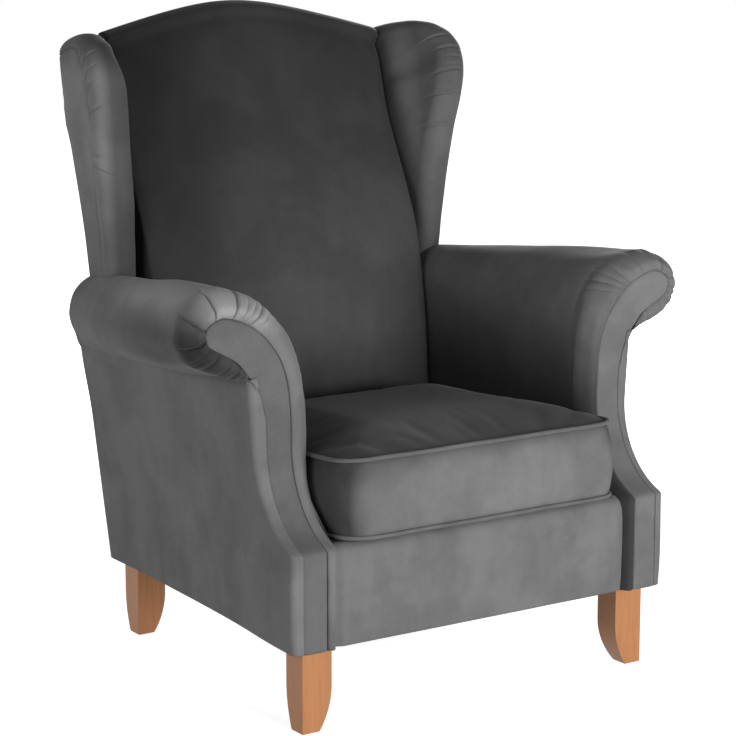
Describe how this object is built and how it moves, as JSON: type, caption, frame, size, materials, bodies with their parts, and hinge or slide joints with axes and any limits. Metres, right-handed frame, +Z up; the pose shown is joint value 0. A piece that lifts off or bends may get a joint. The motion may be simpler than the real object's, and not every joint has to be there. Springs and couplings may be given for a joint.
{
  "type": "wingback chair",
  "caption": "Upholstered wingback chair with scroll arms, flared wings, a camel crest, a loose piped seat cushion and short tapered wooden legs.",
  "frame": {"origin": "on the floor, below the middle of the chair's width and depth", "axes": "+Z up; the chair faces -Y; +X is to the right as seen from the front"},
  "size_m": [0.9404, 0.7892, 1.08],
  "materials": {
    "velvet": "velvet",
    "piping": "velvet",
    "padding": "foam",
    "lining": "woven",
    "felt": "felted",
    "webbing": "woven",
    "zip": "woven",
    "leg_wood": "satin lacquer",
    "frame_wood": "sawn",
    "steel": "zinc plated"
  },
  "bodies": {
    "chair": {"back_pad": "padding", "back_webbing": "webbing", "block_screws": "steel", "corner_blocks": "frame_wood", "crest_rail": "frame_wood", "deck_cover": "lining", "deck_foam": "padding", "dust_cover": "lining", "front_border_cover": "velvet", "front_border_pad": "padding", "front_rail": "frame_wood", "inside_back_cover": "velvet", "left_arm_cover": "velvet", "left_arm_facing": "velvet", "left_arm_pad": "padding", "left_arm_rail": "frame_wood", "left_back_post": "frame_wood", "left_front_band": "velvet", "left_front_leg": "leg_wood", "left_front_post": "frame_wood", "left_outside_arm": "velvet", "left_rear_leg": "leg_wood", "left_scroll_board": "frame_wood", "left_side_rail": "frame_wood", "left_stuff_rail": "frame_wood", "left_wing_board": "frame_wood", "left_wing_cover": "velvet", "left_wing_pad": "padding", "leg_bolts": "steel", "leg_inserts": "steel", "lower_back_rail": "frame_wood", "outside_back": "velvet", "rear_rail": "frame_wood", "right_arm_cover": "velvet", "right_arm_facing": "velvet", "right_arm_pad": "padding", "right_arm_rail": "frame_wood", "right_back_post": "frame_wood", "right_front_band": "velvet", "right_front_leg": "leg_wood", "right_front_post": "frame_wood", "right_outside_arm": "velvet", "right_rear_leg": "leg_wood", "right_scroll_board": "frame_wood", "right_side_rail": "frame_wood", "right_stuff_rail": "frame_wood", "right_wing_board": "frame_wood", "right_wing_cover": "velvet", "right_wing_pad": "padding", "seat_springs": "steel", "spring_clips": "steel", "spring_felt": "felt"},
    "cushion": {"cushion_cover": "velvet", "cushion_core": "padding", "cushion_piping_top": "piping", "cushion_piping_bottom": "piping", "cushion_zip": "zip"}
  },
  "joints": [
    {"name": "cushion_lift", "type": "slide", "parent": "chair", "child": "cushion", "axis": [0, 0, 1], "range_m": [0, 0.32]}
  ]
}
